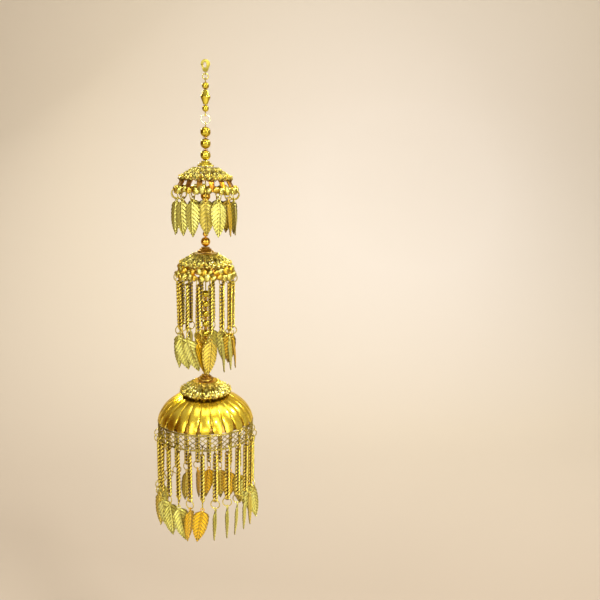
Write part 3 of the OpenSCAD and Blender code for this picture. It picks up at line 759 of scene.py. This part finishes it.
def leaf_shape():
    """One leaf, hung from its eyelet's middle, its face to the front. From top to tip, t runs
    from 0 to 1, and from edge to edge, u runs from -1 to 1."""
    rows, columns, teeth, veins = 56, 20, 15, 8.5
    points, faces, shades = [], [], []
    for i in range(rows + 1):
        t = i / rows
        w = along(leaf_line, t)
        saw = 0.05 * (1 - t * teeth % 1) * min(1, 4 * (1 - t))
        half_w = w * (0.97 + saw) * leaf_half_w
        for j in range(columns + 1):
            u = 2 * j / columns - 1
            x = u * half_w
            to_edge = (1 - abs(u)) * half_w
            off_midrib = min(1, abs(u) * 8)
            vein_phase = (t * veins - abs(u) * w * 2.2) % 1
            vein = ridge(min(vein_phase, 1 - vein_phase), 0.12) * off_midrib
            beside_vein = ridge(vein_phase - 0.24, 0.12) * off_midrib
            folded = 0.65 * w * w * abs(u)
            bowed = 0.225 + 0.6 * math.sin(math.pi * t)
            raised = 0.28 * vein + 0.36 * ridge(x, 0.26) + 0.2 * ridge(to_edge - 0.25, 0.2)
            points.append((x, folded - bowed - raised, leaf_top - leaf_length * t))
            # Painted shade beside the veins, in the grooves along the edge and the midrib, and at the cut
            # edge.
            groove = ridge(to_edge - 0.7, 0.22) + ridge(abs(x) - 0.55, 0.2)
            cut_edge = ridge(to_edge, 0.12)
            shades.append(min(0.95, 0.9 * beside_vein + 0.7 * groove * (1 - vein) + 0.9 * cut_edge))
    for i in range(rows):
        for j in range(columns):
            a = i * (columns + 1) + j
            faces.append((a, a + columns + 1, a + columns + 2, a + 1))
    blade = shaped("leaf blade", points, faces, leaf_gold)
    mark(blade.data, "recess", shades)
    thickened(blade, leaf_sheet, 60)
    eyelet = wire_work("eyelet", [upright(ring_path(eyelet_r, 14), 0)], eyelet_wire, leaf_gold, 6)
    stem_line = [(0, 0.02, -0.8), (0, -0.1, -1.6), (0, -0.3, -2.6)]
    stem = wire_work("stem", [stem_line], stem_wire, leaf_gold, 6)
    return join("leaf", blade, eyelet, stem)


def about(axis, degrees):
    """A turn about an axis, in degrees."""
    return Matrix.Rotation(math.radians(degrees), 3, axis)


leaf = leaf_shape()
for tier, ring_node in (
        ("upper", "upper_rings"), ("middle", "middle_low_rings"), ("dome", "dome_low_rings")):
    row = tiers[tier]
    z = middle(ring_node).z - jump_ring_r[ring_node] - jump_wire
    spots = []
    for k, (turn, inward, aside) in enumerate(row["hang"]):
        angle = hung_at(row, k)
        hung = about("Z", angle) @ about("Y", -aside) @ about("X", inward) @ about("Z", turn)
        place = round_place(angle, row["radius"], z)
        spots.append((place, tuple(hung.to_euler("XYZ")), 1.0, leaf_warmth[tier].get(k, 0)))
    leaves = set_out(tier + "_leaves_stamped", leaf, spots, leaf_gold)
    dress(leaves, row["body"], "pale_gold", tier + "_leaves")
bpy.data.objects.remove(leaf)


# Chains
# Curb chain of twisted oval links, soldered shut, with shade painted dark where the links cross and lighter
# shade painted on their insides.
# Each chain's first link hangs in its ring, and its last link carries the ring of its leaf.

chain_gold = plated_gold("curb chain gold", (0.96, 0.82, 0.16), (0.76, 0.58, 0.06), 0.24, 0.4, 0.008,
                         (0.09, 0.035, 0.003))
link_half, link_half_w, link_wire, links = 1.36, 1.02, 0.45, 13
link_twist, link_turn, seat_gap = 45, -45, 0.02
# Painted shade: dark where links cross, lighter on each link's inside.
crossing_from, crossing_shade = 0.64, 0.95
inner_within, inner_shade = 0.9, 0.35


def link_path():
    """Middle line of one curb link: an oval, twisted so that its ends cross."""
    corners = 12
    path = []
    for i in range(corners):
        a = 2 * math.pi * i / corners
        x, z = link_half_w * math.sin(a), link_half * math.cos(a)
        twist = math.radians(link_twist) * z / link_half
        path.append((x * math.cos(twist), x * math.sin(twist), z))
    return path + path[:1]


def link_shade(place):
    """How much shade is painted on a link at a place in mm: most at its ends, where links cross, and less on
    its inside.
    """
    if abs(place.z) > crossing_from * link_half:
        return crossing_shade
    reach = math.hypot(place.xy.length / link_half_w, place.z / link_half)
    return inner_shade if reach < inner_within else 0.0


for node, tier, top_node, low_node in (
        ("middle_chains", "middle", "middle_top_rings", "middle_low_rings"),
        ("dome_chains", "dome", "dome_top_rings", "dome_low_rings")):
    row = tiers[tier]
    seat = jump_wire + link_wire + seat_gap
    first = middle(top_node).z - jump_ring_r[top_node] + seat - link_half
    last = middle(low_node).z + jump_ring_r[low_node] - seat + link_half
    one_link = wire_work("link", [link_path()], link_wire, chain_gold, 6)
    # Painted shade on each link's ends and inside.
    mark(one_link.data, "recess", [link_shade(vertex.co / MM) for vertex in one_link.data.vertices])
    spots = []
    for k, (leaf_turn, _, _) in enumerate(row["hang"]):
        angle = hung_at(row, k)
        end_turn = leaf_turn % 180
        twist = (end_turn - 180 if end_turn > 90 else end_turn) / (links - 1)
        for i in range(links):
            place = round_place(angle, row["radius"], first + (last - first) * i / (links - 1))
            turn = math.radians(angle + link_turn + twist * i)
            spots.append((place, (0, 0, turn), 1.0, 0.12 * (k % 3)))
    chains = set_out(node + "_linked", one_link, spots, chain_gold)
    bpy.data.objects.remove(one_link)
    smooth(chains.data, 80)
    dress(chains, row["body"], "chain_gold", node)


# Dome
# The large bell: a spun brass shell pressed into twenty-four rounded gores. Each groove is a
# sharp line that opens at the rim into a small pointed arch, sunk below the gores. Shade is
# painted along each groove and darker in each arch. It is polished like a mirror.

dome_gold = plated_gold("mirror dome gold", (0.8, 0.58, 0.045), (0.7, 0.46, 0.02), 0.24, 1.8, 0.02)
dome_r, dome_rise, dome_wall, dome_hole_r = 24.1, 16.5, 0.45, 0.8
rim_polar, gores, first_groove = 84, 24, -8.4
dome_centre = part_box("dome")[1].z / MM - dome_rise
from_groove = [0.0, 0.02, 0.05, 0.1, 0.17, 0.27, 0.4, 0.56, 0.76, 1.0]
cut_half_w, arch_from, arch_half_w = 0.02, 0.74, 0.34


def dome_shell():
    """The spun shell, from its hole to its rim. Across it, s runs from -1 in the middle of one
    gore, over the groove at 0, to 1 in the middle of the next."""
    across = [-d for d in reversed(from_groove[1:-1])] + from_groove
    rows, columns = 48, gores * len(across)
    start = math.asin(dome_hole_r / dome_r)
    points, faces, shades = [], [], []
    for i in range(rows + 1):
        share = i / rows
        polar = start + (math.radians(rim_polar) - start) * share ** 0.9
        fall = math.sin(polar)
        arch = arch_half_w * max(0.0, (share - arch_from) / (1 - arch_from))
        depth = 0.8 * fall ** 2 * (1 - 0.35 * max(0, (share - 0.8) / 0.2))
        for g in range(gores):
            for s in across:
                d = abs(s)
                # Painted shade: dark in the arch, and along the groove's line.
                if d < arch:
                    sunk, shade = depth * 0.75 + 0.5, 0.85
                else:
                    cut = 0.16 * fall if d <= cut_half_w else 0
                    sunk = depth * (1 - d ** 0.55) ** 1.9 + cut
                    shade = 0.6 * ridge(d, 0.035) * min(1, share * 3)
                angle = first_groove + (g + s / 2) * 360 / gores
                z = dome_centre + (dome_rise - 0.5 * sunk) * math.cos(polar)
                points.append(round_place(angle, (dome_r - sunk) * fall, z))
                shades.append(shade)
    for i in range(rows):
        faces += belt(i * columns, (i + 1) * columns, columns)
    shell = shaped("dome_shell", points, faces, dome_gold)
    mark(shell.data, "recess", shades)
    return thickened(shell, dome_wall, 30)


dress(dome_shell(), "dome_drop", "bead_gold", "dome")


# Net band
# A band of fine net soldered between two wires under the dome's rim. Its crossing wires make
# three rows of diamonds, and a ring passes through every second diamond of the lowest row.

net_gold = plated_gold("net wire gold", (0.52, 0.4, 0.07), (0.12, 0.08, 0.01), 0.26, 0.2, 0.01)
edge_wire, net_wire, wire_inset, over_under = 0.42, 0.22, 0.45, 0.12
net_rows, net_cells, edge_corners, net_steps = 3, 48, 144, 12
net_r, net_turn = tiers["dome"]["radius"], tiers["dome"]["phase"]
low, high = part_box("dome_lattice")
net_low, net_high = low.z / MM + wire_inset, high.z / MM - wire_inset
paths = []
for z in (net_low, net_high):
    edge = [round_place(360 * i / edge_corners, net_r, z) for i in range(edge_corners)]
    paths.append(edge + edge[:1])
edge_wires = wire_work("net_edges", paths, edge_wire, net_gold)
paths = []
for k in range(net_cells):
    for way in (-1, 1):
        path = []
        for i in range(net_steps + 1):
            share = i / net_steps
            angle = net_turn + (k + way * net_rows * share) * 360 / net_cells
            path.append(round_place(angle, net_r + way * over_under, net_low + (net_high - net_low) * share))
        paths.append(path)
net_wires = wire_work("net_wires", paths, net_wire, net_gold, 6)
dress(join("net_soldered", edge_wires, net_wires), "dome_drop", "wire_gold", "dome_lattice")


# Studio
# The ornament hangs before a sweep of pale paper, with a glow of light painted on it behind the
# ornament and painted light paling it towards the front. Soft boxes light it from the left, the
# right and above, three small lamps add glints, and two lights fall on the paper. The camera
# stands where the photographer's stood. Places are in metres here.

# Painted light on the paper: paler in front, and a glow that fades outward from behind the ornament.
painted_front_light = (0.9, 0.88, 0.82, 1)
painted_glow_middle, painted_glow_reach = (0.38, 1.0, -0.12), (1.2, 1.0, 1.2)
front_light_from, front_light_full = 0.15, -0.5
floor_z, sweep_front, sweep_foot, sweep_r, sweep_top = -0.42, -2.5, 0.5, 0.5, 2.2
sweep_left, sweep_right = -1.4, 1.6
paper = bpy.data.materials.new("pale sweep paper")
paper.use_nodes = True
tree = paper.node_tree
paper_shader = tree.nodes["Principled BSDF"]
paper_shader.inputs["Roughness"].default_value = 0.9
paper_shader.inputs["Specular IOR Level"].default_value = 0.1
paper_place = tree.nodes.new("ShaderNodeTexCoord").outputs["Object"]
# Painted light: a round glow on the paper, brightest at its middle.
painted_glow_place = tree.nodes.new("ShaderNodeMapping")
painted_glow_place.vector_type = "TEXTURE"
painted_glow_place.inputs["Location"].default_value = painted_glow_middle
painted_glow_place.inputs["Scale"].default_value = painted_glow_reach
tree.links.new(paper_place, painted_glow_place.inputs["Vector"])
painted_glow = tree.nodes.new("ShaderNodeTexGradient")
painted_glow.gradient_type = "SPHERICAL"
tree.links.new(painted_glow_place.outputs["Vector"], painted_glow.inputs["Vector"])
painted_glow_tone = tree.nodes.new("ShaderNodeValToRGB")
set_stops(painted_glow_tone.color_ramp,
          (0.15, (0.48, 0.395, 0.3)), (0.85, (0.75, 0.67, 0.58)), (0.5, (0.64, 0.55, 0.43)))
tree.links.new(painted_glow.outputs["Fac"], painted_glow_tone.inputs["Fac"])
# Painted light: the paper paler towards the front.
paper_parts = tree.nodes.new("ShaderNodeSeparateXYZ")
tree.links.new(paper_place, paper_parts.inputs["Vector"])
front_light_share = ranged(tree, paper_parts.outputs["Y"], front_light_from, front_light_full)
painted_paper_light = washed(tree, front_light_share, painted_glow_tone.outputs["Color"], painted_front_light)
tree.links.new(painted_paper_light, paper_shader.inputs["Base Color"])

sweep_line = [(sweep_front, floor_z), (sweep_foot, floor_z)]
for a in range(9, 91, 9):
    turn = math.radians(a)
    sweep_line.append((sweep_foot + sweep_r * math.sin(turn), floor_z + sweep_r * (1 - math.cos(turn))))
sweep_line.append((sweep_foot + sweep_r, sweep_top))
sweep_points = [(x, y, z) for y, z in sweep_line for x in (sweep_left, sweep_right)]
sweep_faces = [(2 * i, 2 * i + 1, 2 * i + 3, 2 * i + 2) for i in range(len(sweep_line) - 1)]
sweep_mesh = bpy.data.meshes.new("floor")
sweep_mesh.from_pydata(sweep_points, [], sweep_faces)
sweep_mesh.materials.append(paper)
floor = put_in_scene("floor", sweep_mesh)
smooth(floor.data, 60)

air_strength = 0.7
brown_side, brown_from, brown_full = (0.3, 0.14, 0.035, 1), 0.6, 0.95
world = bpy.data.worlds.new("studio")
bpy.context.scene.world = world
world.use_nodes = True
tree = world.node_tree
air = tree.nodes["Background"]
air.inputs["Strength"].default_value = air_strength
sky_parts = tree.nodes.new("ShaderNodeSeparateXYZ")
tree.links.new(tree.nodes.new("ShaderNodeTexCoord").outputs["Generated"], sky_parts.inputs["Vector"])
sky_height = ranged(tree, sky_parts.outputs["Z"], -1, 1)
sky_tone = tree.nodes.new("ShaderNodeValToRGB")
set_stops(sky_tone.color_ramp, (0.3, (0.25, 0.16, 0.09)), (0.48, (0.95, 0.93, 0.88)))
tree.links.new(sky_height, sky_tone.inputs["Fac"])
sky_left = tree.nodes.new("ShaderNodeMath")
sky_left.operation = "MULTIPLY"
sky_left.inputs[1].default_value = -1
tree.links.new(sky_parts.outputs["X"], sky_left.inputs[0])
left_share = ranged(tree, sky_left.outputs["Value"], brown_from, brown_full, easing="SMOOTHSTEP")
sky = washed(tree, left_share, sky_tone.outputs["Color"], brown_side)
tree.links.new(sky, air.inputs["Color"])

warm_white, white = (1.0, 1.0, 0.98), (1.0, 1.0, 1.0)
for name, place, aim, width, height, power, colour in (
        ("left box", (-0.5, -0.65, 0.15), (0, 0, -0.12), 0.22, 0.6, 2.2, warm_white),
        ("right box", (0.55, -0.6, 0.1), (0, 0, -0.12), 0.22, 0.6, 2.2, warm_white),
        ("top box", (0.0, -0.05, 0.8), (0, 0, -0.12), 0.6, 0.4, 3.0, warm_white),
        ("back lamp", (-0.37, 0.84, 0.27), (0, 0, -0.16), 0.12, 0.12, 1.8, white),
        ("side lamp", (0.55, 0.18, 0.4), (0, 0, -0.16), 0.1, 0.1, 2.5, white),
        ("front lamp", (0.3, -0.55, 0.5), (0, 0, -0.16), 0.1, 0.1, 3.0, white),
        ("front floor light", (0.0, -1.7, 0.4), (0, -1.6, -0.42), 0.9, 0.4, 11.0, warm_white),
        ("paper light", (0.7, 0.2, 1.0), (0.6, 1.0, -0.1), 0.8, 0.6, 2.5, warm_white)):
    light = bpy.data.lights.new(name, "AREA")
    light.shape = "RECTANGLE"
    light.size, light.size_y = width, height
    light.energy = power
    light.color = colour
    lamp = put_in_scene(name, light)
    lamp.location = place
    lamp.rotation_euler = (Vector(aim) - Vector(place)).to_track_quat("-Z", "Y").to_euler()

focal_length, sensor_w, nearest_seen = 42.188, 36, 0.01
camera_place = (0, -0.343, -0.0436)
camera_ahead, camera_up = (0.13297, 0.97189, -0.19432), (0.00097, 0.19593, 0.98062)
lens = bpy.data.cameras.new("camera")
lens.lens = focal_length
lens.sensor_width = sensor_w
lens.clip_start = nearest_seen
camera = put_in_scene("camera", lens)
ahead = Vector(camera_ahead).normalized()
across = ahead.cross(Vector(camera_up)).normalized()
camera_turn = Matrix((across, across.cross(ahead), -ahead)).transposed().to_4x4()
camera.matrix_world = Matrix.Translation(camera_place) @ camera_turn
bpy.context.scene.camera = camera
bpy.context.scene.view_settings.view_transform = "Standard"
